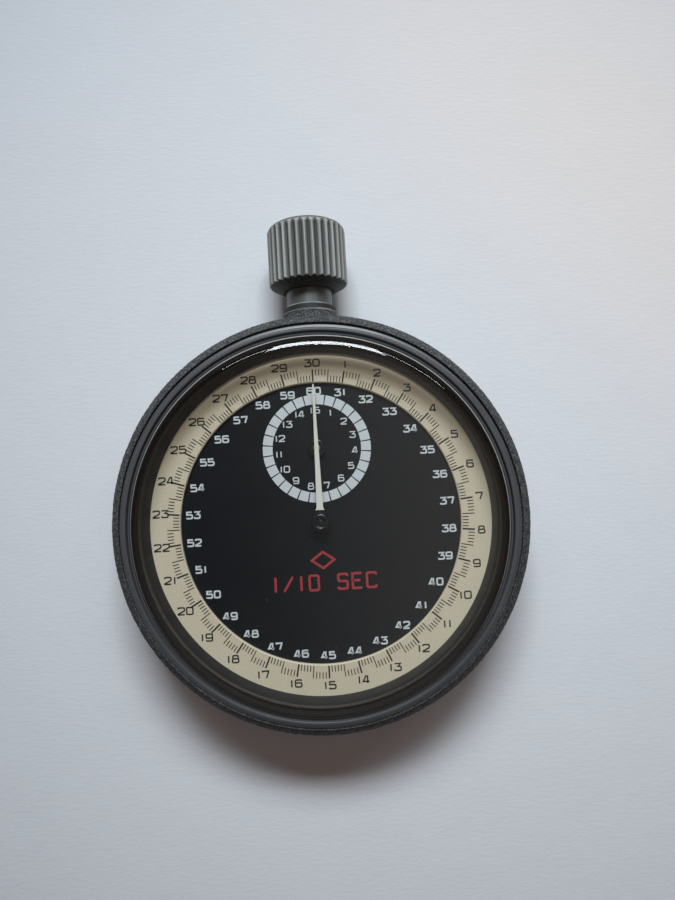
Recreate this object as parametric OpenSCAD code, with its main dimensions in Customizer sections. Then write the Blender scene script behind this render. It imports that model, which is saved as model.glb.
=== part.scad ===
// Mechanical stopwatch: sweep hand turns once in 30 s, small recorder counts 15 minutes.
// Origin: centre of the back's flat face. +Z runs up through the crystal, +Y to the crown.

/* [Case] */
// Outer radius of the case at its widest
case_r = 26.6; // [26.4:0.1:27.4]
// Radius of the round collar that holds the pendant tube
collar_r = 3.5; // [3.3:0.1:3.8]
// Radius of the crystal
crystal_r = 22.85; // [22.6:0.05:22.85]
// Height of the crystal's middle above the table
crystal_top = 13.9; // [13.7:0.1:14.5]

/* [Dial] */
// Outer radius of the cream chapter ring
chapter_r = 21.2; // [20.9:0.1:21.2]
// Radius of the black middle of the dial
centre_r = 17.4; // [17:0.1:17.8]
// Distance of the minute recorder above the middle
recorder_y = 9.17; // [9.12:0.01:9.22]

/* [Crown] */
// Radius of the fluted crown
crown_r = 5.2; // [4.9:0.05:5.25]
// Number of flutes round the crown
flutes = 32; // [24:1:40]
// How far the crown is pressed in
press_travel = 1.6; // [1:0.1:1.6]

/* [Movement] */
// Radius of the main plate
plate_r = 19; // [18.9:0.05:19]
// Radius of the balance wheel over its timing screws
balance_r = 4.4; // [4:0.1:4.4]
// Tooth size of the fourth wheel and escape pinion
escape_module = 0.09; // [0.085:0.005:0.09]

/* [Hidden] */
$fn = 48;
eps = 0.01;

// Heights of the movement, from the back to the dial
stem_z = 5.3;
bridge_z = 2.5;
bridge_top = 3.4;
plate_z = 6;
plate_top = 7.4;
dial_z = 9;
dial_top = 9.35;
chapter_top = 9.85;
seat_z = 11.82;
hammer_z = 7.85;
lever_z = 7.5;
lever_t = 0.3;
brake_z = 8.25;

// Places along the stem
collar_end = 28.2;
recess_end = 33.7;
crown_start = collar_end + press_travel + 0.4;
tube_end = recess_end - press_travel - 0.2;

// Arbor positions
seconds_xy = [0, 0];
minute_xy = [0, recorder_y];
barrel_xy = [8.9, 5.4];
centre_xy = [6.8, -2.9];
third_xy = [1.51, -3.98];
crown_wheel_teeth = 24;
ratchet_teeth = 40;
winding_module = 0.325;
winding_distance = winding_module * (crown_wheel_teeth + ratchet_teeth) / 2;
crown_wheel_xy = [0, barrel_xy[1] + sqrt(pow(winding_distance, 2) - pow(barrel_xy[0], 2))];

barrel_teeth = 80;
centre_teeth = 80;
third_teeth = 75;
fourth_teeth = 80;
escape_leaves = 8;
escape_angle = 207.6;
escape_distance = escape_module * (fourth_teeth + escape_leaves) / 2;
escape_xy = polar(escape_distance, escape_angle);
pallet_angle = 223.8;
pallet_xy = escape_xy + polar(3.09, pallet_angle);
balance_xy = pallet_xy + polar(3.586, pallet_angle);
cock_foot_xy = [-13.6, -9.9];

intermediate_module = 0.12;
minute_module = 0.15;
intermediate_distance = intermediate_module * (10 + 60) / 2;
minute_distance = minute_module * (12 + 60) / 2;
intermediate_y = (pow(recorder_y, 2) + pow(intermediate_distance, 2) - pow(minute_distance, 2))
  / (2 * recorder_y);
intermediate_xy = [sqrt(pow(intermediate_distance, 2) - pow(intermediate_y, 2)), intermediate_y];

lever_xy = [-14.2, 3.6];
column_xy = [-9.4, -11.6];
hammer_xy = [-3.6, -6.6];
brake_xy = [-15.4, -1.2];
jumper_xy = [-2.8, -14.6];
hammer_spring_xy = [-6.6, 3.2];
click_xy = [6.2, 15];

barrel_feet = [[4.48, 16.7], [16.4, -3.5]];
train_feet = [[12.2, -10.2], [1.8, -13.4], [-5.5, 2.5]];
recorder_feet = [[7.4, 7], [4, 14.6]];
dial_feet = [[13, -11.5], [-12.2, 12.2]];

function polar(r, a) = [r * cos(a), r * sin(a)];
function direction(from, to) = atan2(to[1] - from[1], to[0] - from[0]);
function fraction(x) = x - floor(x);

// Angle of a tooth on the second gear that puts it in mesh with the first one
function mesh_phase(phase, teeth, other, line) =
  line + 180 - 360 / other * (0.5 - fraction((line - phase) * teeth / 360));

barrel_phase = 0;
centre_pinion_phase = mesh_phase(barrel_phase, barrel_teeth, 10, direction(barrel_xy, centre_xy));
centre_phase = 0;
third_pinion_phase = mesh_phase(centre_phase, centre_teeth, 10, direction(centre_xy, third_xy));
third_phase = 0;
fourth_pinion_phase = mesh_phase(third_phase, third_teeth, 10, direction(third_xy, seconds_xy));
fourth_phase = 0;
escape_pinion_phase = mesh_phase(
  fourth_phase, fourth_teeth, escape_leaves, direction(seconds_xy, escape_xy)
);
recorder_pinion_phase = 0;
intermediate_phase = mesh_phase(0, 10, 60, direction(seconds_xy, intermediate_xy));
minute_phase = mesh_phase(0, 12, 60, direction(intermediate_xy, minute_xy));
crown_wheel_phase = 90 + 180 / crown_wheel_teeth;
ratchet_phase = mesh_phase(
  crown_wheel_phase, crown_wheel_teeth, ratchet_teeth, direction(crown_wheel_xy, barrel_xy)
);

// ---------- Shared shapes ----------

module at(p, z = 0) translate([p[0], p[1], z]) children();

// Turns local +Z into +Y along the stem
module along_stem(y = 0) translate([0, y, stem_z]) rotate([-90, 0, 0]) children();

module tube(r_out, r_in, h) {
  difference() {
    cylinder(r = r_out, h = h);
    translate([0, 0, -1]) cylinder(r = r_in, h = h + 2);
  }
}

// Toothed outline with straight flanks and running backlash
module gear_outline(teeth, size, phase = 0) {
  root_r = size * (teeth / 2 - 1.2);
  tip_r = size * (teeth / 2 + 0.9);
  polygon([
    for (i = [0:teeth - 1])
      let (a = phase + 360 * i / teeth, p = 360 / teeth)
        for (q = [[root_r, -0.27], [tip_r, -0.12], [tip_r, 0.12], [root_r, 0.27]])
          polar(q[0], a + q[1] * p)
  ]);
}

// Train wheel: toothed rim, hub and thin spokes
module wheel(teeth, size, phase, h, hub_r, spokes = 5) {
  rim_r = size * (teeth / 2 - 1.2) - 0.45;
  linear_extrude(h) difference() {
    gear_outline(teeth, size, phase);
    difference() {
      circle(r = rim_r);
      circle(r = hub_r + 0.5);
      for (i = [0:spokes - 1])
        rotate(360 * i / spokes) translate([0, -0.2]) square([rim_r, 0.4]);
    }
    circle(r = hub_r);
  }
}

// Arbor along Z from a list of [radius, z] steps
module arbor(steps) {
  rotate_extrude() polygon(concat(
    [[0, steps[0][1]]],
    [for (i = [0:len(steps) - 2]) each [[steps[i][0], steps[i][1]], [steps[i][0], steps[i + 1][1]]]],
    [[0, steps[len(steps) - 1][1]]]
  ));
}

// Slotted screw: the head reaches down from z = 0, and the shank goes up
module screw_up(head_r, head_h, shank_r, shank_h) {
  difference() {
    union() {
      translate([0, 0, -head_h]) cylinder(r = head_r, h = head_h);
      translate([0, 0, -eps]) cylinder(r = shank_r, h = shank_h + eps);
    }
    translate([-head_r - 1, -0.12, -head_h - 1]) cube([2 * head_r + 2, 0.24, 1 + head_h / 2]);
  }
}

// Flat bar between two points with round ends
module bar(p, q, rp, rq) {
  hull() {
    translate(p) circle(r = rp, $fn = 32);
    translate(q) circle(r = rq, $fn = 32);
  }
}

// ---------- Case ----------

case_profile = [
  [23.45, 1], [25, 1], [case_r - 0.8, 1.7], [case_r - 0.25, 3.2], [case_r, 5], [case_r, 6.8],
  [case_r - 0.2, 8.3], [case_r - 0.6, 9.7], [25.4, 10.5], [25, 10.8], [24.6, 10.8], [24.6, 10.3],
  [21.3, 10.3], [21.3, dial_z], [20.4, dial_z], [20.4, 2.05], [23.45, 2.05]
];
collar_profile = [
  [0, 24], [collar_r, 24], [collar_r, 27.3], [collar_r - 0.15, 27.8], [collar_r - 0.5, 28.15],
  [0, collar_end]
];

module case_body() {
  color([0.09, 0.09, 0.1]) difference() {
    union() {
      rotate_extrude($fn = 96) polygon(case_profile);
      along_stem() rotate_extrude() polygon(collar_profile);
    }
    along_stem(18) cylinder(r = 2.6, h = 6.5);
    along_stem(24.5) cylinder(r = 3, h = 5);
  }
}

module bezel() {
  color([0.16, 0.16, 0.17]) rotate_extrude($fn = 96) polygon([
    [crystal_r + 0.1, 10.32], [24.3, 10.32], [24.3, 11.5], [23.95, 12.2], [23.4, 12.62],
    [crystal_r + 0.1, 12.7]
  ]);
}

module crystal() {
  dome_r = 22.3;
  edge_z = 13;
  dome = [for (i = [0:10]) let (r = dome_r * (1 - i / 10))
    [r, crystal_top - (crystal_top - edge_z) * pow(r / dome_r, 2)]];
  color([0.9, 0.95, 1, 0.3]) rotate_extrude($fn = 96) polygon(concat(
    [[0, 12.9], [12, 12.7], [21.8, 12.25], [21.8, seat_z], [crystal_r, seat_z],
      [crystal_r, 12.65]], dome
  ));
}

module crystal_gasket() {
  color("dimgray") rotate_extrude($fn = 96)
    translate([crystal_r, seat_z]) square([0.1, 0.7]);
}

// Black ring that carries the crystal; its inside slopes down to the rim of the dial
module reflector_ring() {
  slope_top = seat_z - 0.02;
  color([0.2, 0.2, 0.21]) rotate_extrude($fn = 96) polygon([
    [chapter_r - 0.05, 9.87], [21.28, 9.87], [21.28, 10.32], [crystal_r, 10.32],
    [crystal_r, slope_top], [crystal_r - 0.95, slope_top], [chapter_r - 0.05, 10.1]
  ]);
}

module dial() {
  color([0.07, 0.07, 0.08]) difference() {
    union() {
      translate([0, 0, dial_z]) cylinder(r = 21.25, h = dial_top - dial_z, $fn = 96);
      for (p = dial_feet) at(p, 6.9) cylinder(r = 0.4, h = dial_z - 6.9 + 0.1);
    }
    for (p = [seconds_xy, minute_xy]) at(p, 8) cylinder(r = 0.6, h = 3);
  }
}

module chapter_ring() {
  color([0.87, 0.83, 0.72]) translate([0, 0, dial_top])
    tube(chapter_r, centre_r, chapter_top - dial_top, $fn = 96);
}

module case_back() {
  color([0.12, 0.12, 0.13]) rotate_extrude($fn = 96) polygon([
    [0, 0], [24.1, 0], [24.75, 0.4], [24.75, 0.8], [23.42, 0.8], [23.42, 2], [22.5, 2],
    [22.5, 0.8], [0, 0.8]
  ]);
}

module back_gasket() {
  color("dimgray") translate([0, 0, 0.8]) tube(24.4, 23.46, 0.2, $fn = 96);
}

// ---------- Crown, stem and push piece ----------

module pendant_tube() {
  color("gray") along_stem() rotate_extrude() polygon([
    [1.25, 20.6], [2.6, 20.6], [2.6, 24.5], [3, 24.5], [3, tube_end], [2.05, tube_end], [2.05, 22.2],
    [1.25, 22.2]
  ]);
}

module crown() {
  groove = 0.52;
  color([0.45, 0.46, 0.46]) difference() {
    along_stem() rotate_extrude($fn = 96) polygon([
      [0.6, 31], [1.9, 31], [1.9, recess_end], [3.06, recess_end], [3.06, crown_start],
      [3.5, crown_start], [crown_r, crown_start + 1.3], [crown_r, 38],
      [crown_r - 0.35, 38.65], [4, 39], [0, 39.1], [0, 35], [0.6, 35]
    ]);
    along_stem(31) for (i = [0:flutes - 1])
      rotate(360 * i / flutes) translate([crown_r + 0.06, 0, -1]) rotate(45)
        translate([-groove / 2, -groove / 2, 0]) cube([groove, groove, 10]);
  }
}

module stem() {
  color("silver") {
    along_stem(11) cylinder(r = 0.45, h = 2.9 + eps);
    along_stem(13.9) translate([-0.5, -0.5, 0]) cube([1, 1, 3.1 + eps]);
    along_stem(17) cylinder(r = 0.6, h = 18);
  }
}

module stem_sleeve() {
  color("lightgray") along_stem(17.4) tube(1.2, 0.65, 13.56);
}

// Coil spring round the sleeve, as one swept wire
module return_spring() {
  turns = 7;
  steps = 14;
  sides = 6;
  coil_r = 1.62;
  wire_r = 0.2;
  rise = (8.5 - 2 * wire_r) / turns;
  rings = turns * steps;
  points = [for (i = [0:rings]) let (a = 360 * i / steps) for (j = [0:sides - 1])
    let (b = 360 * j / sides, r = coil_r + wire_r * cos(b))
      [r * cos(a), r * sin(a), rise * i / steps + wire_r * sin(b)]];
  walls = [for (i = [0:rings - 1]) for (j = [0:sides - 1]) let (k = (j + 1) % sides)
    [i * sides + j, i * sides + k, (i + 1) * sides + k, (i + 1) * sides + j]];
  first_cap = [[for (j = [sides - 1:-1:0]) j]];
  last_cap = [[for (j = [0:sides - 1]) rings * sides + j]];
  color("silver") along_stem(22.25 + wire_r)
    polyhedron(points = points, faces = concat(first_cap, walls, last_cap));
}

// ---------- Plates and bridges ----------

module movement_ring() {
  color("gray") difference() {
    rotate_extrude($fn = 96) polygon([
      [plate_r + 0.05, plate_z], [20.38, plate_z], [20.38, 8.9], [18.4, 8.9],
      [18.4, plate_top], [plate_r + 0.05, plate_top]
    ]);
    along_stem(16) cylinder(r = 1.6, h = 6);
  }
}

module dog_screws() {
  color("steelblue") for (a = [120, 180, 265, 335])
    at(polar(17.9, a), plate_z) screw_up(1.4, 0.5, 0.5, 1);
}

module main_plate() {
  color([0.75, 0.6, 0.35]) difference() {
    union() {
      translate([0, 0, plate_z]) cylinder(r = plate_r, h = plate_top - plate_z, $fn = 96);
      at(crown_wheel_xy, 3.55) cylinder(r = 1.45, h = plate_z - 3.5);
      at(crown_wheel_xy, 2) cylinder(r = 0.9, h = 1.6);
      translate([-2, 17.7, 3.6]) cube([4, 1.1, plate_z - 3.5]);
    }
    along_stem(9) cylinder(r = 0.5, h = 5);
    along_stem(17) cylinder(r = 1.25, h = 3);
    translate([-2.1, 13.85, 4]) cube([4.2, 3.65, 5]);
    at(crown_wheel_xy, 1) cylinder(r = 0.5, h = 3);
    at(seconds_xy, 5) cylinder(r = 0.7, h = 1.5);
    at(seconds_xy, 5) cylinder(r = 0.45, h = 4);
    at(minute_xy, 6.8) cylinder(r = 0.6, h = 1);
    at(intermediate_xy, 6.8) cylinder(r = 0.6, h = 1);
    at(barrel_xy, 5) cylinder(r = 0.85, h = 2);
    for (p = [centre_xy, third_xy, escape_xy, pallet_xy, balance_xy])
      at(p, 5) cylinder(r = 0.6, h = 1.9);
    for (p = concat(barrel_feet, train_feet)) at(p, 5) cylinder(r = 0.5, h = 2);
    at(cock_foot_xy, 5) cylinder(r = 0.5, h = 2);
    for (s = [-1, 1]) at(pallet_foot(s), 5) cylinder(r = 0.3, h = 2);
    for (a = [120, 180, 265, 335]) at(polar(17.9, a), 5) cylinder(r = 0.5, h = 2);
    for (p = [lever_xy, column_xy, hammer_xy, brake_xy, jumper_xy, hammer_spring_xy])
      at(p, 6.6) cylinder(r = 0.5, h = 1);
    for (p = recorder_feet) at(p, 6.6) cylinder(r = 0.4, h = 1);
    for (p = dial_feet) at(p, 6.9) cylinder(r = 0.4, h = 1);
    at(brake_pin_xy, 5) cylinder(r = 0.8, h = 4);
  }
}

// Straight hole up through a bridge and its foot
module bridge_hole(p, r) at(p, 0) cylinder(r = r, h = plate_z + 1);

module barrel_bridge() {
  color([0.78, 0.76, 0.72]) difference() {
    union() {
      translate([0, 0, bridge_z]) linear_extrude(bridge_top - bridge_z) intersection() {
        circle(r = 18.6, $fn = 96);
        hull() {
          translate(barrel_xy) circle(r = 6, $fn = 32);
          for (p = barrel_feet) translate(p) circle(r = 1.6, $fn = 32);
          translate([13.4, 11]) circle(r = 1.6, $fn = 32);
        }
      }
      for (p = barrel_feet) at(p, bridge_top - eps) cylinder(r = 1.5, h = plate_z - bridge_top + eps);
    }
    at(crown_wheel_xy, 0) cylinder(r = 4.5, h = plate_z);
    for (p = barrel_feet) bridge_hole(p, 0.5);
    bridge_hole(barrel_xy, 0.85);
    at(click_xy, 0) cylinder(r = 0.4, h = bridge_top);
    at(click_spring_xy, 0) cylinder(r = 0.3, h = bridge_top);
  }
}

module train_bridge() {
  color([0.78, 0.76, 0.72]) difference() {
    union() {
      translate([0, 0, bridge_z]) linear_extrude(bridge_top - bridge_z) hull() {
        translate(centre_xy) circle(r = 1.6, $fn = 32);
        translate(escape_xy) circle(r = 1.3, $fn = 32);
        for (p = train_feet) translate(p) circle(r = 1.6, $fn = 32);
      }
      for (p = train_feet)
        at(p, bridge_top - eps) cylinder(r = 1.2, h = plate_z - bridge_top + eps);
    }
    at(balance_xy, 0) cylinder(r = balance_r + 0.4, h = plate_z - 2);
    for (p = train_feet) bridge_hole(p, 0.5);
    for (p = [centre_xy, third_xy, seconds_xy, escape_xy]) at(p, 0) cylinder(r = 0.6, h = 4);
  }
}

module balance_cock() {
  color([0.78, 0.76, 0.72]) difference() {
    union() {
      translate([0, 0, 1.3]) linear_extrude(0.7) bar(balance_xy, cock_foot_xy, 1.9, 1.4);
      at(cock_foot_xy, 1.3) cylinder(r = 1.4, h = plate_z - 1.3);
    }
    at(balance_xy, 0) cylinder(r = 0.6, h = 4);
    bridge_hole(cock_foot_xy, 0.5);
  }
}

function pallet_foot(side) = pallet_xy + polar(2.6, pallet_angle + 90 * side);

module pallet_bridge() {
  color([0.78, 0.76, 0.72]) difference() {
    union() {
      translate([0, 0, 3.8]) linear_extrude(0.35) bar(pallet_foot(-1), pallet_foot(1), 0.7, 0.7);
      for (s = [-1, 1]) at(pallet_foot(s), 4.1) cylinder(r = 0.6, h = plate_z - 4.1);
    }
    for (s = [-1, 1]) at(pallet_foot(s), 0) cylinder(r = 0.3, h = 7);
    at(pallet_xy, 0) cylinder(r = 0.45, h = 5);
  }
}

module recorder_bridge() {
  color([0.78, 0.76, 0.72]) difference() {
    union() {
      translate([0, 0, 8.58]) linear_extrude(0.27) hull() {
        translate(intermediate_xy) circle(r = 1, $fn = 32);
        translate(minute_xy) circle(r = 1.1, $fn = 32);
        for (p = recorder_feet) translate(p) circle(r = 1, $fn = 32);
      }
      for (p = recorder_feet) at(p, plate_top) cylinder(r = 0.9, h = 1.3);
    }
    at(intermediate_xy, 8) cylinder(r = 0.23, h = 2);
    at(minute_xy, 8) cylinder(r = 0.37, h = 2);
    for (p = recorder_feet) at(p, 7) cylinder(r = 0.4, h = 3);
  }
}

module bridge_screws() {
  color("steelblue") {
    for (p = concat(barrel_feet, train_feet))
      at(p, bridge_z) screw_up(0.95, 0.4, 0.5, plate_z + 0.8 - bridge_z);
    at(cock_foot_xy, 1.3) screw_up(0.95, 0.3, 0.5, plate_z + 0.8 - 1.3);
    for (s = [-1, 1]) at(pallet_foot(s), 3.8) screw_up(0.45, 0.25, 0.3, 2.9);
    for (p = recorder_feet) at(p, 6.7) cylinder(r = 0.4, h = 2.15);
  }
}

module jewels() {
  color([0.8, 0.1, 0.25]) {
    for (p = [[third_xy, 0.17], [escape_xy, 0.14], [balance_xy, 0.14], [centre_xy, 0.22]])
      at(p[0], plate_z) tube(0.6, p[1], 0.5);
    at(pallet_xy, plate_z) tube(0.6, 0.14, 0.5);
    at(seconds_xy, plate_z) tube(0.7, 0.33, 0.5);
    for (p = [[third_xy, 0.17], [escape_xy, 0.14], [seconds_xy, 0.17], [centre_xy, 0.22]])
      at(p[0], bridge_top - 0.5) tube(0.6, p[1], 0.5);
    at(balance_xy, 1.5) tube(0.6, 0.14, 0.5);
    at(pallet_xy, 3.8) tube(0.45, 0.14, 0.35);
  }
}

// ---------- Barrel and winding work ----------

module barrel_drum() {
  color([0.8, 0.66, 0.35]) at(barrel_xy) difference() {
    union() {
      translate([0, 0, 4.4]) cylinder(r = 7.2, h = 1.45, $fn = 96);
      translate([0, 0, 5.35]) linear_extrude(0.4) gear_outline(barrel_teeth, 0.19, barrel_phase);
    }
    translate([0, 0, 4]) cylinder(r = 6.85, h = 1.5, $fn = 96);
    cylinder(r = 0.85, h = 7);
  }
}

module barrel_cover() {
  color([0.8, 0.66, 0.35]) at(barrel_xy, 4.4) tube(6.84, 0.85, 0.25, $fn = 96);
}

module barrel_arbor() {
  color("silver") at(barrel_xy) difference() {
    union() {
      arbor([[0.8, bridge_z], [1.4, 4.68], [0.8, 5.47], [0.8, 6.9]]);
      translate([-0.55, -0.55, 1.97]) cube([1.1, 1.1, 0.6]);
    }
    cylinder(r = 0.3, h = 4);
  }
}

module mainspring() {
  turns = 8;
  steps = 24;
  inner_r = 1.6;
  outer_r = 6.75;
  t = 0.14;
  count = turns * steps;
  function coil(i, side) = polar(inner_r + (outer_r - t - inner_r) * i / count + side, 360 * i / steps);
  color("steelblue") at(barrel_xy, 4.72) linear_extrude(0.68) polygon(concat(
    [for (i = [0:count]) coil(i, t)], [for (i = [count:-1:0]) coil(i, 0)]
  ));
}

module ratchet_wheel() {
  color("silver") at(barrel_xy, 1.97) difference() {
    linear_extrude(0.43) gear_outline(ratchet_teeth, winding_module, ratchet_phase);
    translate([-0.55, -0.55, -1]) cube([1.1, 1.1, 3]);
  }
}

module ratchet_screw() {
  color("steelblue") at(barrel_xy, 1.96) screw_up(1.7, 0.4, 0.3, 2);
}

click_beak = barrel_xy + polar(7.3, 84);
click_spring_xy = [13.9, 11.1];

module click() {
  color("silver") translate([0, 0, 2]) linear_extrude(0.4) difference() {
    bar(click_xy, click_beak, 0.9, 0.35);
    translate(click_xy) circle(r = 0.44);
  }
}

module click_spring() {
  spring_r = norm(click_spring_xy - barrel_xy);
  from_a = direction(barrel_xy, click_spring_xy);
  color("silver") {
    at(barrel_xy, 2) rotate(from_a) rotate_extrude(angle = 83 - from_a)
      translate([spring_r, 0]) square([0.15, 0.35]);
    at(click_spring_xy, 2) cylinder(r = 0.55, h = 0.45);
    at(click_spring_xy, 2.4) cylinder(r = 0.3, h = 0.9);
    at(click_xy, 1.6) cylinder(r = 0.8, h = 0.35);
    at(click_xy, 1.9) cylinder(r = 0.4, h = 1.4);
  }
}

module crown_wheel() {
  color("silver") at(crown_wheel_xy, 1.97) difference() {
    linear_extrude(1.53) gear_outline(crown_wheel_teeth, winding_module, crown_wheel_phase);
    translate([0, 0, -1]) cylinder(r = 0.95, h = 4);
  }
}

module crown_wheel_screw() {
  color("steelblue") at(crown_wheel_xy, 1.95) screw_up(1.7, 0.4, 0.5, 1.95);
}

module winding_pinion() {
  y = crown_wheel_xy[1] + 3.6;
  color("silver") along_stem(y) difference() {
    linear_extrude(0.6) winding_outline();
    translate([-0.52, -0.52, -1]) cube([1.04, 1.04, 3]);
  }
}

// Twelve square-ended teeth that dip between the crown wheel's teeth
module winding_outline() {
  teeth = 12;
  polygon([for (i = [0:teeth - 1]) let (a = 360 * i / teeth)
    for (q = [[1.58, -8], [1.98, -5], [1.98, 5], [1.58, 8]]) polar(q[0], a + q[1])]);
}

// ---------- Going train and escapement ----------

module centre_wheel() {
  color([0.8, 0.66, 0.35]) at(centre_xy) {
    translate([0, 0, 3.6]) wheel(centre_teeth, 0.12, centre_phase, 0.2, 0.35);
    arbor([[0.2, 2.7], [0.35, 3.45], [0.2, 5.95], [0.2, 6.7]]);
    translate([0, 0, 5.2]) linear_extrude(0.7) gear_outline(10, 0.19, centre_pinion_phase);
  }
}

module third_wheel() {
  color([0.8, 0.66, 0.35]) at(third_xy) {
    translate([0, 0, 5]) wheel(third_teeth, 0.1, third_phase, 0.2, 0.25);
    arbor([[0.15, 2.7], [0.25, 3.45], [0.15, 5.95], [0.15, 6.7]]);
    translate([0, 0, 3.5]) linear_extrude(0.38) gear_outline(10, 0.12, third_pinion_phase);
  }
}

module fourth_wheel() {
  color([0.8, 0.66, 0.35]) translate([0, 0, 4]) wheel(fourth_teeth, escape_module, fourth_phase, 0.2, 0.35);
}

module seconds_arbor() {
  color("silver") {
    arbor([[0.15, 2.7], [0.35, 3.45], [0.3, 5.9], [0.3, 10.9]]);
    translate([0, 0, 4.85]) linear_extrude(0.5) gear_outline(10, 0.1, fourth_pinion_phase);
    translate([0, 0, 8.2]) linear_extrude(0.3)
      gear_outline(10, intermediate_module, recorder_pinion_phase);
  }
}

module escape_wheel() {
  teeth = 15;
  tip_r = 2.4;
  root_r = 1.9;
  color([0.8, 0.66, 0.35]) at(escape_xy) {
    translate([0, 0, 4.5]) linear_extrude(0.2) difference() {
      polygon([for (i = [0:teeth - 1]) let (a = 360 * i / teeth)
        for (q = [[root_r, 0], [tip_r, 4], [tip_r, 7], [root_r, 5]]) polar(q[0], a + q[1])]);
      difference() {
        circle(r = 1.55);
        circle(r = 0.6);
        for (i = [0:3]) rotate(90 * i) translate([0, -0.12]) square([1.7, 0.24]);
      }
      circle(r = 0.2);
    }
    arbor([[0.12, 2.7], [0.2, 3.45], [0.12, 5.95], [0.12, 6.7]]);
    translate([0, 0, 3.85]) linear_extrude(0.45)
      gear_outline(escape_leaves, escape_module, escape_pinion_phase);
  }
}

stone_angle = 32;
stone_r = 2.98;

module pallet_fork() {
  tail = balance_xy - polar(1.05, pallet_angle);
  color("silver") {
    translate([0, 0, 4.5]) linear_extrude(0.22) difference() {
      union() {
        for (s = [-1, 1])
          bar(pallet_xy, escape_xy + polar(stone_r, pallet_angle + s * stone_angle), 0.4, 0.3);
        bar(pallet_xy, tail, 0.4, 0.24);
      }
      translate(balance_xy) circle(r = 0.95);
      translate(pallet_xy) circle(r = 0.18);
    }
    at(pallet_xy) arbor([[0.12, 3.85], [0.18, 4.2], [0.12, 5.95], [0.12, 6.5]]);
  }
}

module pallet_stones() {
  color([0.8, 0.1, 0.25]) for (s = [-1, 1])
    at(escape_xy + polar(stone_r - 0.05, pallet_angle + s * stone_angle), 4.72)
      rotate(pallet_angle + s * stone_angle) translate([-0.28, -0.12, 0]) cube([0.5, 0.24, 0.16]);
}

module balance_wheel() {
  color([0.8, 0.66, 0.35]) at(balance_xy, 2.75) difference() {
    union() {
      tube(balance_r - 0.3, balance_r - 0.9, 0.5, $fn = 96);
      cylinder(r = 0.8, h = 0.3);
      translate([-balance_r + 0.6, -0.3, 0]) cube([2 * balance_r - 1.2, 0.6, 0.25]);
      for (i = [0:11]) rotate(30 * i + 15) translate([balance_r - 0.5, 0, 0.25])
        rotate([0, 90, 0]) cylinder(r = 0.18, h = 0.5);
    }
    translate([0, 0, -1]) cylinder(r = 0.3, h = 3);
  }
}

module balance_staff() {
  color("silver") at(balance_xy) {
    arbor([[0.12, 1.6], [0.3, 2.15], [0.12, 5.9], [0.12, 6.6]]);
    translate([0, 0, 3.9]) cylinder(r = 0.85, h = 0.4);
    rotate(pallet_angle + 180) translate([0.6, 0, 4.25]) cylinder(r = 0.12, h = 0.17);
    translate([0, 0, 2.25]) cylinder(r = 0.55, h = 0.25);
  }
}

module hairspring() {
  turns = 7;
  steps = 24;
  inner_r = 0.52;
  outer_r = 2.8;
  t = 0.07;
  count = turns * steps;
  function coil(i, side) = polar(inner_r + (outer_r - inner_r) * i / count + side, 360 * i / steps);
  color("steelblue") at(balance_xy, 2.3) linear_extrude(0.15) polygon(concat(
    [for (i = [0:count]) coil(i, t)], [for (i = [count:-1:0]) coil(i, 0)]
  ));
}

module regulator() {
  color("silver") at(balance_xy) rotate(100) {
    translate([0, 0, 1.02]) linear_extrude(0.26) difference() {
      union() {
        circle(r = 1.2);
        bar([0, 0], [3.1, 0], 0.6, 0.3);
      }
      circle(r = 0.65);
    }
    translate([3.1, 0, 1.2]) cylinder(r = 0.15, h = 1.25);
  }
}

// ---------- Recorder and reset work ----------

// Heart cam outline: radius grows evenly from the notch to the tip on both sides
module heart(hole_r) {
  low = 0.62;
  high = 1.5;
  linear_extrude(0.3) difference() {
    polygon([for (i = [0:35]) polar(low + (high - low) * (1 - abs(1 - i / 18)), 180 + 10 * i)]);
    circle(r = hole_r);
  }
}

module seconds_heart() {
  color("silver") translate([0, 0, hammer_z]) heart(0.3);
}

module intermediate_wheel() {
  color([0.8, 0.66, 0.35]) at(intermediate_xy) {
    translate([0, 0, 8.25]) wheel(60, intermediate_module, intermediate_phase, 0.2, 0.25);
    arbor([[0.2, 6.85], [0.25, 7.45], [0.2, 8.5], [0.2, 8.85]]);
    translate([0, 0, 7.5]) linear_extrude(0.32) gear_outline(12, minute_module, 0);
  }
}

module minute_wheel() {
  color([0.8, 0.66, 0.35]) at(minute_xy) {
    translate([0, 0, 7.55]) wheel(60, minute_module, minute_phase, 0.2, 0.35);
    arbor([[0.3, 6.85], [0.35, 7.45], [0.3, 8.55], [0.3, 10.3]]);
  }
}

module minute_heart() {
  color("silver") at(minute_xy, hammer_z) heart(0.35);
}

module column_wheel() {
  teeth = 12;
  color("silver") at(column_xy) difference() {
    union() {
      translate([0, 0, lever_z]) linear_extrude(lever_t)
        polygon([for (i = [0:teeth - 1]) let (a = 360 * i / teeth)
          for (q = [[1.75, 0], [2.2, 24], [1.75, 28]]) polar(q[0], a + q[1])]);
      translate([0, 0, lever_z]) cylinder(r = 1, h = 1.05);
      for (i = [0:5]) rotate(60 * i + 15) translate([0.9, -0.3, lever_z + lever_t - eps])
        cube([0.7, 0.6, 0.76]);
    }
    translate([0, 0, 7]) cylinder(r = 0.55, h = 3);
  }
}

module column_jumper() {
  tip = column_xy + polar(2.65, -80);
  color("silver") translate([0, 0, lever_z]) linear_extrude(lever_t) difference() {
    bar(jumper_xy, tip, 0.9, 0.3);
    translate(jumper_xy) circle(r = 0.55);
  }
}

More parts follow.
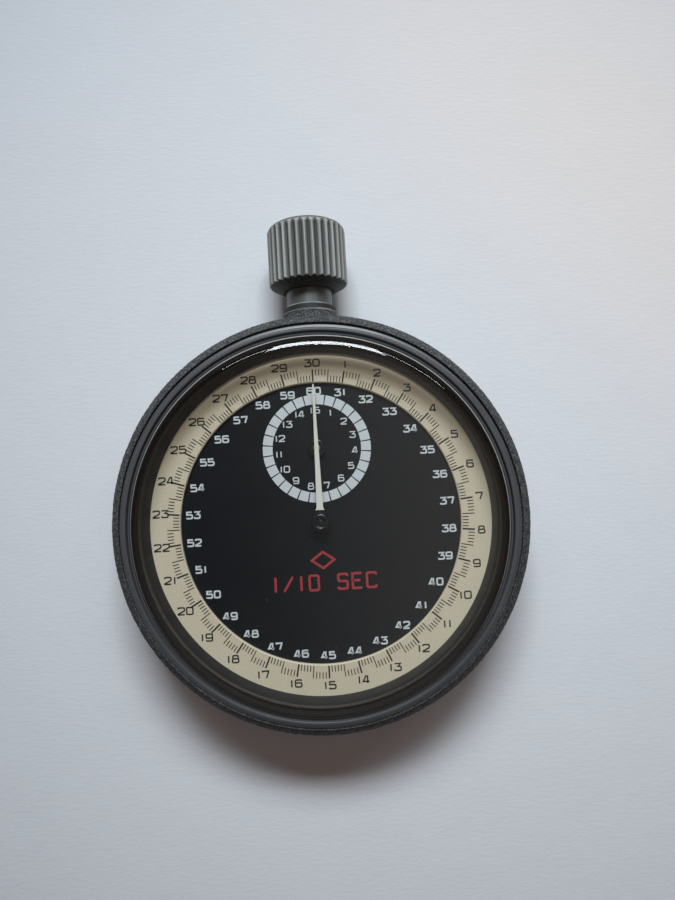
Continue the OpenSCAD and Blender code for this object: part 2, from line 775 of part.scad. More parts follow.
module operating_lever() {
  top = [-1.9, 16.95];
  elbow = [-9, 10.6];
  hook = column_xy + [0.3, 2.85];
  color("silver") {
    translate([0, 0, lever_z]) linear_extrude(lever_t) difference() {
      union() {
        bar(lever_xy, elbow, 1.1, 0.8);
        bar(elbow, top, 0.8, 0.6);
        bar(lever_xy, hook, 1.1, 0.35);
      }
      translate(lever_xy) circle(r = 0.55);
    }
    translate([-1.95, 16.7, lever_z]) cube([1.5, 0.6, lever_t]);
    translate([-1.6, 16.75, 6.08]) cube([1.15, 0.55, lever_z - 6]);
  }
}

module reset_hammer() {
  color("silver") translate([0, 0, hammer_z]) linear_extrude(lever_t) difference() {
    union() {
      bar(hammer_xy, [-3.6, 1], 1, 0.7);
      bar([-3.6, 1], [-3.3, 9.2], 0.7, 0.6);
      bar(hammer_xy, column_xy + polar(2.5, -15), 1, 0.35);
      translate([-3.6, -0.6]) square([1.9, 1.2]);
      translate([-3.3, recorder_y - 0.6]) square([1.6, 1.2]);
    }
    translate(hammer_xy) circle(r = 0.55);
  }
}

module hammer_spring() {
  color("steelblue") {
    translate([0, 0, hammer_z]) linear_extrude(lever_t)
      bar(hammer_spring_xy, [-4.45, 6.4], 0.3, 0.12);
    at(hammer_spring_xy, 6.7) cylinder(r = 0.5, h = hammer_z - 6.7);
    at(hammer_spring_xy, hammer_z - eps) cylinder(r = 0.5, h = lever_t + eps);
  }
}

brake_pin_xy = balance_xy + polar(balance_r + 0.65, 165);

module brake_lever() {
  beak = column_xy + polar(2.4, 135);
  color("silver") {
    translate([0, 0, brake_z]) linear_extrude(lever_t) difference() {
      union() {
        bar(brake_xy, brake_pin_xy, 0.9, 0.45);
        bar(brake_pin_xy, beak, 0.45, 0.35);
      }
      translate(brake_xy) circle(r = 0.55);
    }
    at(brake_pin_xy, 2.75) cylinder(r = 0.3, h = brake_z - 2.7);
  }
}

// Shoulder screw from the dial side: spacer, shank and head
module shoulder_screw(p, part_z, part_h) {
  at(p) difference() {
    union() {
      translate([0, 0, 6.6]) cylinder(r = 0.5, h = part_z + part_h + 0.1 - 6.6);
      if (part_z - plate_top > 0.12)
        translate([0, 0, plate_top]) cylinder(r = 0.8, h = part_z - plate_top - 0.05);
      translate([0, 0, part_z + part_h + 0.04]) cylinder(r = 0.85, h = 0.22);
    }
    translate([-2, -0.12, part_z + part_h + 0.16]) cube([4, 0.24, 1]);
  }
}

module lever_screws() {
  color("steelblue") {
    shoulder_screw(lever_xy, lever_z, lever_t);
    shoulder_screw(jumper_xy, lever_z, lever_t);
    shoulder_screw(column_xy, lever_z, 1.06);
    shoulder_screw(hammer_xy, hammer_z, lever_t);
    shoulder_screw(brake_xy, brake_z, lever_t);
  }
}

// ---------- Hands ----------

module seconds_hand() {
  tip_y = 17.1;
  color([0.87, 0.83, 0.72]) difference() {
    union() {
      translate([0, 0, 10.45]) linear_extrude(0.2)
        polygon([[-0.12, tip_y], [0.12, tip_y], [0.4, 1.6], [0.5, 0], [-0.5, 0], [-0.4, 1.6]]);
      translate([0, 0, 9.95]) cylinder(r = 1.2, h = 1.2);
    }
    translate([0, 0, 9]) cylinder(r = 0.3, h = 1.9);
  }
}

module minute_hand() {
  color([0.87, 0.83, 0.72]) at(minute_xy) difference() {
    union() {
      translate([0, 0, 9.8]) linear_extrude(0.15)
        polygon([[-0.1, 4.8], [0.1, 4.8], [0.3, 0], [-0.3, 0]]);
      translate([0, 0, 9.5]) cylinder(r = 1.1, h = 0.5);
      translate([0, 0, 9.9]) cylinder(r = 0.5, h = 0.42);
    }
    translate([0, 0, 9]) cylinder(r = 0.3, h = 1.3);
  }
}

case_body();
bezel();
crystal();
crystal_gasket();
reflector_ring();
dial();
chapter_ring();
case_back();
back_gasket();
pendant_tube();
crown();
stem();
stem_sleeve();
return_spring();
movement_ring();
dog_screws();
main_plate();
barrel_bridge();
train_bridge();
balance_cock();
pallet_bridge();
recorder_bridge();
bridge_screws();
jewels();
barrel_drum();
barrel_cover();
barrel_arbor();
mainspring();
ratchet_wheel();
ratchet_screw();
click();
click_spring();
crown_wheel();
crown_wheel_screw();
winding_pinion();
centre_wheel();
third_wheel();
fourth_wheel();
seconds_arbor();
escape_wheel();
pallet_fork();
pallet_stones();
balance_wheel();
balance_staff();
hairspring();
regulator();
seconds_heart();
intermediate_wheel();
minute_wheel();
minute_heart();
column_wheel();
column_jumper();
operating_lever();
reset_hammer();
hammer_spring();
brake_lever();
lever_screws();
seconds_hand();
minute_hand();
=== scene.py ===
"""Looks of a hand-held mechanical stopwatch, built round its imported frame."""
import math

import bmesh
import bpy
import numpy as np
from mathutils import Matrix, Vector, noise


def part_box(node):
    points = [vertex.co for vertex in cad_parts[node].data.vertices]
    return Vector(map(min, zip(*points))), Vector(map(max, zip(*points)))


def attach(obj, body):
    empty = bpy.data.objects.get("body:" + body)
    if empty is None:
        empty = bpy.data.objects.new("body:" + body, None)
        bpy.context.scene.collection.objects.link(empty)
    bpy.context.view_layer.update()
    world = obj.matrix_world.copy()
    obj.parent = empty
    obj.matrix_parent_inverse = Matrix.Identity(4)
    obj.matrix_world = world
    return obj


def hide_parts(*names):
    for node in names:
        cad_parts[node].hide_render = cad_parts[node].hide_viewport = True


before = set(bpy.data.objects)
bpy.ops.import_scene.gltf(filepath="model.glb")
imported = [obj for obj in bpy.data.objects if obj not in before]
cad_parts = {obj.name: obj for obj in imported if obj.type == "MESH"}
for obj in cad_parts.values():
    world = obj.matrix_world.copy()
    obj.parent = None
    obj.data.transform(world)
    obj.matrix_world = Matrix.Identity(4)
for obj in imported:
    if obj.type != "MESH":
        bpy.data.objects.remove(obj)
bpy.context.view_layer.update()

MM = 0.001
TAU = 2 * math.pi


def low(node, axis):
    """Lowest coordinate of a CAD node along an axis, in millimetres."""
    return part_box(node)[0][axis] / MM


def high(node, axis):
    """Highest coordinate of a CAD node along an axis, in millimetres."""
    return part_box(node)[1][axis] / MM


# Sizes read from the frame
CASE_R = high("case_body", 0)
BEZEL_R = high("bezel", 0)
BEZEL_TOP = high("bezel", 2)
CRYSTAL_R = high("crystal", 0)
CRYSTAL_TOP = high("crystal", 2)
DIAL_TOP = high("dial", 2)
CHAPTER_R = high("chapter_ring", 0)
CHAPTER_TOP = high("chapter_ring", 2)
CROWN_R = high("crown", 0)
CROWN_START = low("crown", 1)
CROWN_END = high("crown", 1)
STEM_Z = (high("crown", 2) + low("crown", 2)) / 2
COLLAR_END = high("case_body", 1)
RECORDER_Y = (high("minute_wheel", 1) + low("minute_wheel", 1)) / 2

# Sizes that the boxes of the nodes don't give, in millimetres
CASE_SHELF = 10.3
SNAP_Z = 10.32
GLASS_SEAT = 11.8
GLASS_HOLLOW_R = 21.8
GLASS_SHOULDER_R = 21.55
REFLECTOR_FOOT_R = 21.28
CHAPTER_IN = 17.4
COLLAR_R = 3.5
COLLAR_BAND = 1.05
BACK_R = 24.75
HAND_BOTTOM = 10.45
HAND_TOP = 10.65
HUB_Z = 9.98

# Sizes of the printing, in millimetres
INK = 0.015
SECONDS = 30
SECOND_R = 19.9
HALF_MINUTE_ACROSS = 15.95
HALF_MINUTE_UP = 16.42
TICK_IN = 17.55
TICK_MID = 18.3
TICK_OUT = 19.06
MINUTES = 15
MINUTE_R = 4.8
BLOCK_IN = 5.55
BLOCK_OUT = 6.78
BLOCK_GAP = 0.14


# ---------------------------------------------------------------- finishes


class Value:
    """A shader value. Arithmetic on it adds Math nodes."""

    def __init__(self, finish, socket):
        self.finish = finish
        self.socket = socket

    def math(self, operation, *inputs):
        """A Math node on these inputs."""
        return self.finish.add("ShaderNodeMath", {"operation": operation}, dict(enumerate(inputs)))

    def __add__(self, other):
        return self.math("ADD", self, other)

    def __sub__(self, other):
        return self.math("SUBTRACT", self, other)

    def __rsub__(self, other):
        return self.math("SUBTRACT", other, self)

    def __mul__(self, other):
        return self.math("MULTIPLY", self, other)

    def __pow__(self, other):
        return self.math("POWER", self, other)

    __radd__ = __add__
    __rmul__ = __mul__

    def sine(self):
        """Sine of the value in radians."""
        return self.math("SINE", self)

    def between(self, start, end):
        """0 below start, 1 above end, and a smooth step between."""
        return self.finish.add(
            "ShaderNodeMapRange",
            {"interpolation_type": "SMOOTHSTEP"},
            {"Value": self, "From Min": start, "From Max": end},
        )


class Finish:
    """A tree of shader nodes, made by a few methods that every finish uses."""

    def __init__(self, owner):
        self.owner = owner
        owner.use_nodes = True
        self.tree = owner.node_tree
        self.tree.nodes.clear()

    def add(self, kind, settings=None, sockets=None, out=0):
        """Adds a node with its settings and sockets and gives one of its outputs."""
        node = self.tree.nodes.new(kind)
        for key, value in (settings or {}).items():
            setattr(node, key, value)
        for key, value in (sockets or {}).items():
            if isinstance(value, Value):
                self.tree.links.new(value.socket, node.inputs[key])
            else:
                node.inputs[key].default_value = value
        return Value(self, node.outputs[out] if node.outputs else None)

    def place(self, stretch=None):
        """Place on the object in metres, stretched along its axes where asked."""
        place = self.add("ShaderNodeTexCoord", out=3)
        if stretch is None:
            return place
        return self.add("ShaderNodeMapping", {}, {"Vector": place, "Scale": stretch})

    def axes(self):
        """The three coordinates of the place, in millimetres."""
        parts = [self.add("ShaderNodeSeparateXYZ", {}, {0: self.place()}, out) for out in range(3)]
        return [part * (1 / MM) for part in parts]

    def grain(self, size, detail=2.0, roughness=0.5, stretch=None):
        """Noise from 0 to 1 whose features are about size millimetres wide."""
        return self.add(
            "ShaderNodeTexNoise",
            {},
            {
                "Vector": self.place(stretch),
                "Scale": 1 / (size * MM),
                "Detail": detail,
                "Roughness": roughness,
            },
        )

    def cells(self, size):
        """Distance from the centres of cells about size millimetres wide."""
        return self.add("ShaderNodeTexVoronoi", {}, {"Vector": self.place(), "Scale": 1 / (size * MM)})

    def mix(self, factor, first, second):
        """Blend of two colours."""
        return self.add(
            "ShaderNodeMix", {"data_type": "RGBA"}, {0: factor, 6: colour(first), 7: colour(second)}, 2
        )

    def bump(self, height, depth):
        """Normal of a relief that is depth millimetres high."""
        return self.add("ShaderNodeBump", {}, {"Strength": 1.0, "Distance": depth * MM, "Height": height})

    def finish(self, shader):
        """Closes the tree with its output and gives the material."""
        self.add("ShaderNodeOutputMaterial", {}, {"Surface": shader})
        return self.owner

    def surface(self, **sockets):
        """Closes the finish with one principled shader."""
        named = {key.replace("_", " "): colour(value) for key, value in sockets.items()}
        return self.finish(self.add("ShaderNodeBsdfPrincipled", {}, named))


def colour(value):
    """A colour of three numbers gets its fourth; anything else stays as it is."""
    return (*value, 1.0) if isinstance(value, tuple) and len(value) == 3 else value


def new_finish(name):
    """An empty finish of that name."""
    return Finish(bpy.data.materials.new(name))


def crinkle_paint():
    """Black crackle paint whose wrinkle peaks are paled as painted glints, and a smooth band with rubbed
    edges at the collar's end.
    """
    f = new_finish("black_crinkle_paint")
    _, y, _ = f.axes()
    wrinkle = f.grain(0.24, 3.0, 0.65)
    crackled = 1.0 - y.between(COLLAR_END - COLLAR_BAND, COLLAR_END - COLLAR_BAND + 0.1)
    # Painted glints: the wrinkle peaks are paled in the colour as sheen.
    peak_glint = wrinkle.between(0.42, 0.68) * crackled
    edge = y.between(COLLAR_END - 0.24, COLLAR_END - 0.12)
    step = y.between(COLLAR_END - 1.1, COLLAR_END - 1.0) * y.between(COLLAR_END - 0.8, COLLAR_END - 0.9)
    wear = 0.45 + 0.55 * f.grain(2.0, 3.0).between(0.35, 0.65)
    paint = f.mix(peak_glint, (0.018, 0.019, 0.020), (0.15, 0.152, 0.148))
    return f.surface(
        Base_Color=f.mix((edge + step * 0.7) * wear, paint, (0.34, 0.35, 0.33)),
        Roughness=0.5 + 0.25 * f.grain(0.5),
        Normal=f.bump(wrinkle * crackled, 0.16),
    )


def satin_black(name, dark, pale, rough, rubbed_from=2 * BEZEL_R, seat_painted_light=None):
    """Smooth black lacquer over turned metal, with turning lines and handling marks.

    The flange is rubbed bare beyond the radius rubbed_from; seat_painted_light is a paler colour under the
    crystal's edge, painted light that makes up for the darkened shoulder seen above it.
    """
    f = new_finish(name)
    x, y, z = f.axes()
    radius = (x * x + y * y) ** 0.5
    turning = (radius * 60.0 + z * 45.0).sine() * 0.5 + 0.5
    smudge = f.grain(4.0, 4.0, 0.6)
    paint = f.mix(smudge, dark, pale)
    # Painted light: a paler seat under the crystal's darkened shoulder.
    if seat_painted_light:
        paint = f.mix(radius.between(GLASS_HOLLOW_R - 0.05, GLASS_HOLLOW_R + 0.05), paint, seat_painted_light)
    worn = radius.between(rubbed_from, rubbed_from + 0.08) * z.between(BEZEL_TOP - 1.5, BEZEL_TOP - 1.4)
    return f.surface(
        Base_Color=f.mix(worn * (0.5 + 0.5 * smudge), paint, (0.28, 0.28, 0.27)),
        Roughness=rough + 0.12 * smudge + 0.03 * turning,
        Normal=f.bump(turning, 0.001),
    )


def crystal_acrylic(name, clearness):
    """Clear acrylic: a mirror film over plain clearness, stronger towards grazing angles."""
    f = new_finish(name)
    facing = f.add("ShaderNodeLayerWeight", {}, {"Blend": 0.5}, 1)
    film = 0.04 + 0.96 * facing**5
    hairlines = f.grain(0.6, 4.0, 0.7, (1.0, 0.25, 1.0)).between(0.55, 0.8)
    clear = f.add("ShaderNodeBsdfTransparent", {}, {"Color": colour(clearness)})
    mirror = f.add("ShaderNodeBsdfGlossy", {}, {"Roughness": 0.03 + 0.05 * hairlines})
    return f.finish(f.add("ShaderNodeMixShader", {}, {0: film, 1: clear, 2: mirror}))


def black_rubber():
    """Matt seal rubber with a pale bloom."""
    f = new_finish("seal_rubber")
    bloom = f.grain(1.5, 3.0)
    return f.surface(
        Base_Color=f.mix(bloom, (0.012, 0.012, 0.012), (0.03, 0.03, 0.03)),
        Roughness=0.7 + 0.15 * bloom,
        Normal=f.bump(f.grain(0.1), 0.01),
    )


def dial_lacquer():
    """Deep black dial lacquer with a soft mottle and a few specks of dust."""
    f = new_finish("dial_black_lacquer")
    mottle = f.grain(7.0, 3.0, 0.55)
    dust = f.cells(1.7).between(0.055, 0.02) * f.grain(5.0).between(0.5, 0.62)
    lacquer = f.mix(mottle, (0.0045, 0.005, 0.007), (0.0075, 0.008, 0.010))
    return f.surface(
        Base_Color=f.mix(dust, lacquer, (0.12, 0.12, 0.11)),
        Roughness=0.32 + 0.12 * mottle,
        Specular_IOR_Level=0.3,
        Normal=f.bump(f.grain(0.25), 0.0015),
    )


def cream_paint():
    """Aged cream paint of the seconds ring, yellowed in soft patches."""
    f = new_finish("cream_dial_paint")
    age = f.grain(5.0, 4.0, 0.6)
    speck = f.grain(0.22, 2.0)
    base = f.mix(age, (0.72, 0.61, 0.435), (0.79, 0.69, 0.51))
    return f.surface(
        Base_Color=f.mix(speck.between(0.60, 0.78), base, (0.60, 0.50, 0.35)),
        Roughness=0.55 + 0.1 * speck,
        Normal=f.bump(speck, 0.004),
    )


def ink(name, thin, thick, rough=0.55):
    """Printed ink: slightly uneven cover."""
    f = new_finish(name)
    cover = f.grain(0.35, 3.0, 0.6)
    return f.surface(Base_Color=f.mix(cover, thin, thick), Roughness=rough + 0.1 * cover)


def blasted_grey():
    """Matt grey metal of the crown: blasted grain, dirt and painted shade down in the flutes, rubbed ridges,
    and a dark cone beneath with grime and painted shade.
    """
    f = new_finish("crown_blasted_grey")
    x, y, z = f.axes()
    drop = z - STEM_Z
    radius = (x * x + drop * drop) ** 0.5
    ridge = radius.between(CROWN_R - 0.30, CROWN_R - 0.02)
    pits = f.grain(0.16, 3.0, 0.65)
    streak = f.grain(0.5, 3.0, 0.6, (1.0, 0.12, 1.0))
    metal = f.mix(streak, (0.30, 0.31, 0.285), (0.44, 0.45, 0.415))
    # Dirt and painted shade: the flutes are darkened below the ridges.
    flute_dirt_and_shade = f.mix(pits, (0.05, 0.054, 0.05), (0.13, 0.135, 0.125))
    fluted = f.mix(ridge, flute_dirt_and_shade, metal)
    # Painted shade: the cone beneath the flutes, which faces away from the lamp, is darkened, with grime over
    # it.
    cone = y.between(CROWN_START + 1.0, CROWN_START + 0.75) * radius.between(CROWN_R - 0.15, CROWN_R - 0.4)
    cone_grime_and_shade = f.mix(pits.between(0.4, 0.65), (0.012, 0.013, 0.012), (0.12, 0.12, 0.105))
    return f.surface(
        Base_Color=f.mix(cone, fluted, cone_grime_and_shade),
        Roughness=0.5 + 0.2 * pits,
        Metallic=0.35,
        Normal=f.bump(pits, 0.035),
    )


def neck_grey():
    """Smooth dark grey neck, worn along its length."""
    f = new_finish("neck_grey")
    wear = f.grain(0.8, 3.0, 0.6, (1.0, 0.3, 1.0))
    return f.surface(
        Base_Color=f.mix(wear, (0.09, 0.10, 0.098), (0.20, 0.215, 0.205)),
        Metallic=0.5,
        Roughness=0.32 + 0.15 * wear,
        Normal=f.bump(wear, 0.004),
    )


def worked_metal(name, dark, pale, rough, stretch, grain=0.12):
    """Metal with a directional ground or brushed grain."""
    f = new_finish(name)
    lines = f.grain(grain, 3.0, 0.6, stretch)
    cloud = f.grain(2.5, 2.0)
    return f.surface(
        Base_Color=f.mix(cloud, dark, pale),
        Metallic=1.0,
        Roughness=rough + 0.12 * lines,
        Normal=f.bump(lines, 0.002),
    )


def striped_nickel():
    """Nickel bridges with broad polished stripes."""
    f = new_finish("striped_nickel")
    x, y, _ = f.axes()
    stripe = ((x * 0.8 + y * 0.6) * 3.6).sine() * 0.5 + 0.5
    return f.surface(
        Base_Color=f.mix(stripe, (0.58, 0.56, 0.50), (0.70, 0.68, 0.62)),
        Metallic=1.0,
        Roughness=0.16 + 0.2 * stripe,
        Normal=f.bump(stripe, 0.004),
    )


def ruby():
    """Polished synthetic ruby, deeper in places."""
    f = new_finish("ruby_jewel")
    depth = f.grain(0.3)
    return f.surface(
        Base_Color=f.mix(depth, (0.32, 0.008, 0.04), (0.62, 0.03, 0.11)),
        Roughness=0.04 + 0.03 * depth,
        Coat_Weight=0.6,
    )


CASE_PAINT = crinkle_paint()
BEZEL_PAINT = satin_black(
    "bezel_satin_black", (0.055, 0.056, 0.060), (0.085, 0.086, 0.090), 0.30, rubbed_from=24.5
)
# The reflector's pale seat is painted light under the crystal's darkened shoulder.
REFLECTOR_PAINT = satin_black(
    "reflector_black", (0.010, 0.010, 0.011), (0.018, 0.018, 0.018), 0.38, seat_painted_light=(0.085, 0.082, 0.08)
)
BACK_PAINT = satin_black("back_satin_black", (0.03, 0.03, 0.032), (0.05, 0.05, 0.052), 0.36)
CRYSTAL = crystal_acrylic("crystal_acrylic", (0.975, 0.98, 0.975))
GROUND_EDGE = ink("ground_acrylic_edge", (0.34, 0.34, 0.33), (0.46, 0.46, 0.45), 0.4)
# Painted shadow: the shoulder's darkened clearness casts the soft shadow that light bent by thick acrylic
# would leave on the dial.
SHOULDER_SHADOW_TINT = crystal_acrylic("crystal_shoulder_shadow_tint", (0.43, 0.41, 0.38))
SEAL = black_rubber()
DIAL_BLACK = dial_lacquer()
CREAM = cream_paint()
BLACK_INK = ink("black_ink", (0.012, 0.011, 0.010), (0.022, 0.020, 0.018))
WHITE_INK = ink("white_ink", (0.66, 0.70, 0.72), (0.78, 0.81, 0.82))
RED_INK = ink("red_ink", (0.36, 0.028, 0.032), (0.52, 0.045, 0.045))
HAND_CREAM = ink("hand_cream_lacquer", (0.82, 0.81, 0.70), (0.90, 0.89, 0.78), 0.35)
HAND_BLACK = ink("hand_black_lacquer", (0.008, 0.008, 0.009), (0.016, 0.016, 0.017), 0.12)
CROWN_GREY = blasted_grey()
NECK_GREY = neck_grey()
STEEL = worked_metal("ground_steel", (0.45, 0.46, 0.47), (0.60, 0.61, 0.62), 0.22, (1.0, 0.1, 1.0))
BLUED = worked_metal("blued_steel", (0.03, 0.05, 0.22), (0.06, 0.09, 0.34), 0.15, (1.0, 1.0, 1.0))
BRASS = worked_metal("gilt_brass", (0.62, 0.43, 0.16), (0.76, 0.56, 0.25), 0.24, (1.0, 1.0, 1.0), 0.08)
NICKEL = striped_nickel()
RUBY = ruby()


# ---------------------------------------------------------------- mesh work


def rounded(points, closed=True, steps=4):
    """Outline whose corners are rounded where a point carries a third number, its radius."""
    out = []
    for i, here in enumerate(points):
        ends = not closed and i in (0, len(points) - 1)
        if len(here) == 2 or ends:
            out.append(tuple(here[:2]))
            continue
        corner = Vector(here[:2])
        back = Vector(points[i - 1][:2]) - corner
        ahead = Vector(points[(i + 1) % len(points)][:2]) - corner
        reach = here[2] / math.tan(back.angle(ahead) / 2)
        start = corner + back.normalized() * min(reach, 0.49 * back.length)
        end = corner + ahead.normalized() * min(reach, 0.49 * ahead.length)
        for k in range(steps + 1):
            t = k / steps
            out.append(tuple(start * (1 - t) ** 2 + corner * 2 * t * (1 - t) + end * t**2))
    return out


def refined(points, step, closed=True):
    """Outline with points added so that no side is longer than step."""
    ahead = points[1:] + points[:1] if closed else points[1:]
    out = []
    for a, b in zip(points, ahead):
        count = max(1, math.ceil(math.dist(a, b) / step))
        out += [(a[0] + (b[0] - a[0]) * k / count, a[1] + (b[1] - a[1]) * k / count) for k in range(count)]
    return out if closed else out + [points[-1]]


def piece(name, verts, faces, finish, body="case", replaces=(), sharp=30):
    """A mesh piece from points in millimetres, cleaned, shaded and set on its body."""
    mesh = bpy.data.meshes.new(name)
    mesh.from_pydata((np.asarray(verts, float) * MM).tolist(), [], faces)
    obj = bpy.data.objects.new(name, mesh)
    bpy.context.scene.collection.objects.link(obj)
    return settled(obj, finish, body, replaces, sharp)


def settled(obj, finish, body, replaces, sharp):
    """Cleans an object's mesh, gives it its finish and sets it on its body."""
    bm = bmesh.new()
    bm.from_mesh(obj.data)
    bmesh.ops.remove_doubles(bm, verts=bm.verts, dist=1e-7)
    bmesh.ops.dissolve_degenerate(bm, edges=bm.edges, dist=1e-8)
    bmesh.ops.recalc_face_normals(bm, faces=bm.faces)
    bm.to_mesh(obj.data)
    bm.free()
    obj.data.materials.clear()
    obj.data.materials.append(finish)
    obj.data.shade_smooth()
    obj.data.set_sharp_from_angle(angle=math.radians(sharp))
    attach(obj, body)
    if replaces:
        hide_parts(*replaces)
    return obj


def turned(outline, steps, along="z"):
    """Points and faces of a closed (radius, height) outline turned about the dial axis or the stem."""
    verts = []
    for k in range(steps):
        a = TAU * k / steps
        for r, h in outline:
            if along == "z":
                verts.append((r * math.cos(a), r * math.sin(a), h))
            else:
                verts.append((r * math.sin(a), h, STEM_Z + r * math.cos(a)))
    return verts, wrapped(outline, steps)


def wrapped(outline, steps):
    """Faces between neighbouring copies of an outline; sides that lie on the axis have none."""
    n = len(outline)
    faces = []
    for k in range(steps):
        here, there = k * n, (k + 1) % steps * n
        for i in range(n):
            j = (i + 1) % n
            if outline[i][0] < 1e-6 and outline[j][0] < 1e-6:
                continue
            if outline[i][0] < 1e-6:
                faces.append((here + i, here + j, there + j))
            elif outline[j][0] < 1e-6:
                faces.append((here + i, here + j, there + i))
            else:
                faces.append((here + i, here + j, there + j, there + i))
    return faces


def ribbons(strokes, height):
    """Points and faces of flat raised strokes; a stroke is (points, width, closed)."""
    verts = []
    faces = []
    for points, width, closed in strokes:
        base = len(verts)
        n = len(points)
        for i, here in enumerate(points):
            back = points[i - 1] if closed or i else None
            ahead = points[(i + 1) % n] if closed or i < n - 1 else None
            sides = []
            for a, b in ((back, here), (here, ahead)):
                if a and b:
                    run = Vector(b) - Vector(a)
                    sides.append(Vector((-run.y, run.x)).normalized())
            side = sum(sides, Vector((0, 0))).normalized()
            reach = width / 2 / max(side.dot(sides[0]), 0.5)
            for sign, z in ((1, height + INK), (-1, height + INK), (-1, height), (1, height)):
                verts.append((here[0] + side.x * reach * sign, here[1] + side.y * reach * sign, z))
        for i in range(n if closed else n - 1):
            a, b = base + 4 * i, base + 4 * ((i + 1) % n)
            for k in range(4):
                faces.append((a + k, a + (k + 1) % 4, b + (k + 1) % 4, b + k))
        if not closed:
            last = base + 4 * (n - 1)
            faces += [(base, base + 1, base + 2, base + 3), (last + 3, last + 2, last + 1, last)]
    return verts, faces


def clock(number, whole, radius, centre=(0.0, 0.0), up=None):
    """Point at a clockwise share of a turn from the top; up is the radius along the stem, if it differs."""
    a = TAU * number / whole
    return (centre[0] + radius * math.sin(a), centre[1] + (up or radius) * math.cos(a))


# ---------------------------------------------------------------- lettering

R = 0.22
BOWL = [(1, 0.58, R), (1, 0, R), (0, 0, R)]
GLYPHS = {
    "0": [[(0, 0.5), (0, 1, R), (1, 1, R), (1, 0, R), (0, 0, R), (0, 0.5)]],
    "1": [[(0.5, 0), (0.5, 1)]],
    "2": [[(0, 0.8), (0, 1, R), (1, 1, R), (1, 0.55, R), (0, 0.1), (0, 0), (1, 0)]],
    "3": [[(0, 1), (0.95, 1), (0.5, 0.6), *BOWL, (0, 0.2)]],
    "4": [[(0.72, 0), (0.72, 1), (0.45, 1), (0, 0.25), (1, 0.25)]],
    "5": [[(0.95, 1), (0.05, 1), (0.05, 0.58), *BOWL, (0, 0.14)]],
    "6": [[(0.95, 0.86), (0.95, 1, R), (0, 1, R), (0, 0, R), (1, 0, R), (1, 0.58, R), (0.1, 0.58)]],
    "7": [[(0.02, 0.82), (0.02, 1), (0.96, 1), (0.96, 0.88), (0.6, 0)]],
    "8": [
        [(0.08, 0.62), (0.08, 1, R), (0.92, 1, R), (0.92, 0.62)],
        [(0.5, 0.54), (0, 0.54, R), (0, 0, R), (1, 0, R), (1, 0.54, R), (0.5, 0.54)],
    ],
    "/": [[(0, 0), (1, 1)]],
    "S": [[(1, 0.84), (1, 1, R), (0, 1, R), (0, 0.52, R), (1, 0.52, R), (1, 0, R), (0, 0, R), (0, 0.16)]],
    "E": [[(1, 1), (0, 1), (0, 0), (1, 0)], [(0, 0.52), (0.85, 0.52)]],
    "C": [[(1, 0.84), (1, 1, R), (0, 1, R), (0, 0, R), (1, 0, R), (1, 0.16)]],
    " ": [],
}
GLYPHS["9"] = [[(1 - p[0], 1 - p[1], *p[2:]) for p in path] for path in GLYPHS["6"]]


def lettering(text, centre, height, width, stroke, gap):
    """Strokes of a line of text round a centre. A 1 has a narrow cell with room at its sides."""
    cells = [stroke + 0.36 * height if c == "1" else width for c in text]
    x = centre[0] - (sum(cells) + gap * (len(text) - 1)) / 2
    strokes = []
    for c, cell in zip(text, cells):
        inner = Vector((cell - stroke, height - stroke))
        corner = Vector((x + stroke / 2, centre[1] - height / 2 + stroke / 2))
        for path in GLYPHS[c]:
            scaled = [
                (corner.x + p[0] * inner.x, corner.y + p[1] * inner.y, *[q * inner.x for q in p[2:]])
                for p in path
            ]
            closed = path[0] == path[-1]
            strokes.append((rounded(scaled[:-1] if closed else scaled, closed), stroke, closed))
        x += cell + gap
    return strokes


def printed(name, strokes, height, finish):
    """A piece of raised ink strokes on a surface at that height."""
    verts, faces = ribbons(strokes, height)
    return piece(name, verts, faces, finish, sharp=20)


# ---------------------------------------------------------------- case


def crinkled(point, depth):
    """A point of the skin pushed in, towards the dial axis or the stem, by the wrinkles of the paint."""
    x, y, z = point
    coarse, fine = 0.34, 0.17
    p = Vector(point)
    fold = abs(noise.noise(p / coarse)) + 0.5 * abs(noise.noise(p / fine + Vector((7, 3, 1))))
    push = depth * min(fold * 2.0, 1.0)
    if y > CASE_R:
        scale = 1 - push / math.hypot(x, z - STEM_Z)
        return (x * scale, y, STEM_Z + (z - STEM_Z) * scale)
    scale = 1 - push / math.hypot(x, y)
    return (x * scale, y * scale, z)


def case_shell():
    """The turned case with its crinkled rim, the round collar and the stepped bore for the neck."""
    rim = rounded(
        [
            (25.0, 1.0, 0.3),
            (25.8, 1.7, 0.6),
            (26.35, 3.2, 1.0),
            (CASE_R, 5.0, 1.5),
            (CASE_R, 6.8, 1.5),
            (26.4, 8.3, 1.5),
            (26.05, 9.6, 1.0),
            (25.6, 10.3, 0.5),
            (24.9, 10.85, 0.1),
        ],
        closed=False,
    )
    bezel_well, dial_well, movement_well, back_well = 24.82, 21.3, 20.4, 23.45
    dial_seat, back_seat = 9.0, 2.05
    inside = [
        (bezel_well, 10.8),
        (bezel_well, CASE_SHELF),
        (dial_well, CASE_SHELF),
        (dial_well, dial_seat),
        (movement_well, dial_seat),
        (movement_well, back_seat),
        (back_well, back_seat),
        (back_well, 1.0),
    ]
    skin = refined(rim, 0.13, closed=False)
    outline = skin + inside
    verts, faces = turned(outline, 1080)
    for i, point in enumerate(verts):
        if 0 < i % len(outline) < len(skin) - 1:
            verts[i] = crinkled(point, 0.12)
    body = loose_mesh("case_shell", verts, faces)
    joined(body, loose_mesh("collar", *collar()), "UNION")
    bore = [(0, 18.0), (2.6, 18.0), (2.6, 24.5), (3.0, 24.5), (3.0, 29.5), (0, 29.5)]
    joined(body, loose_mesh("bore", *turned(bore, 96, "y")), "DIFFERENCE")
    return settled(body, CASE_PAINT, "case", ("case_body",), 50)


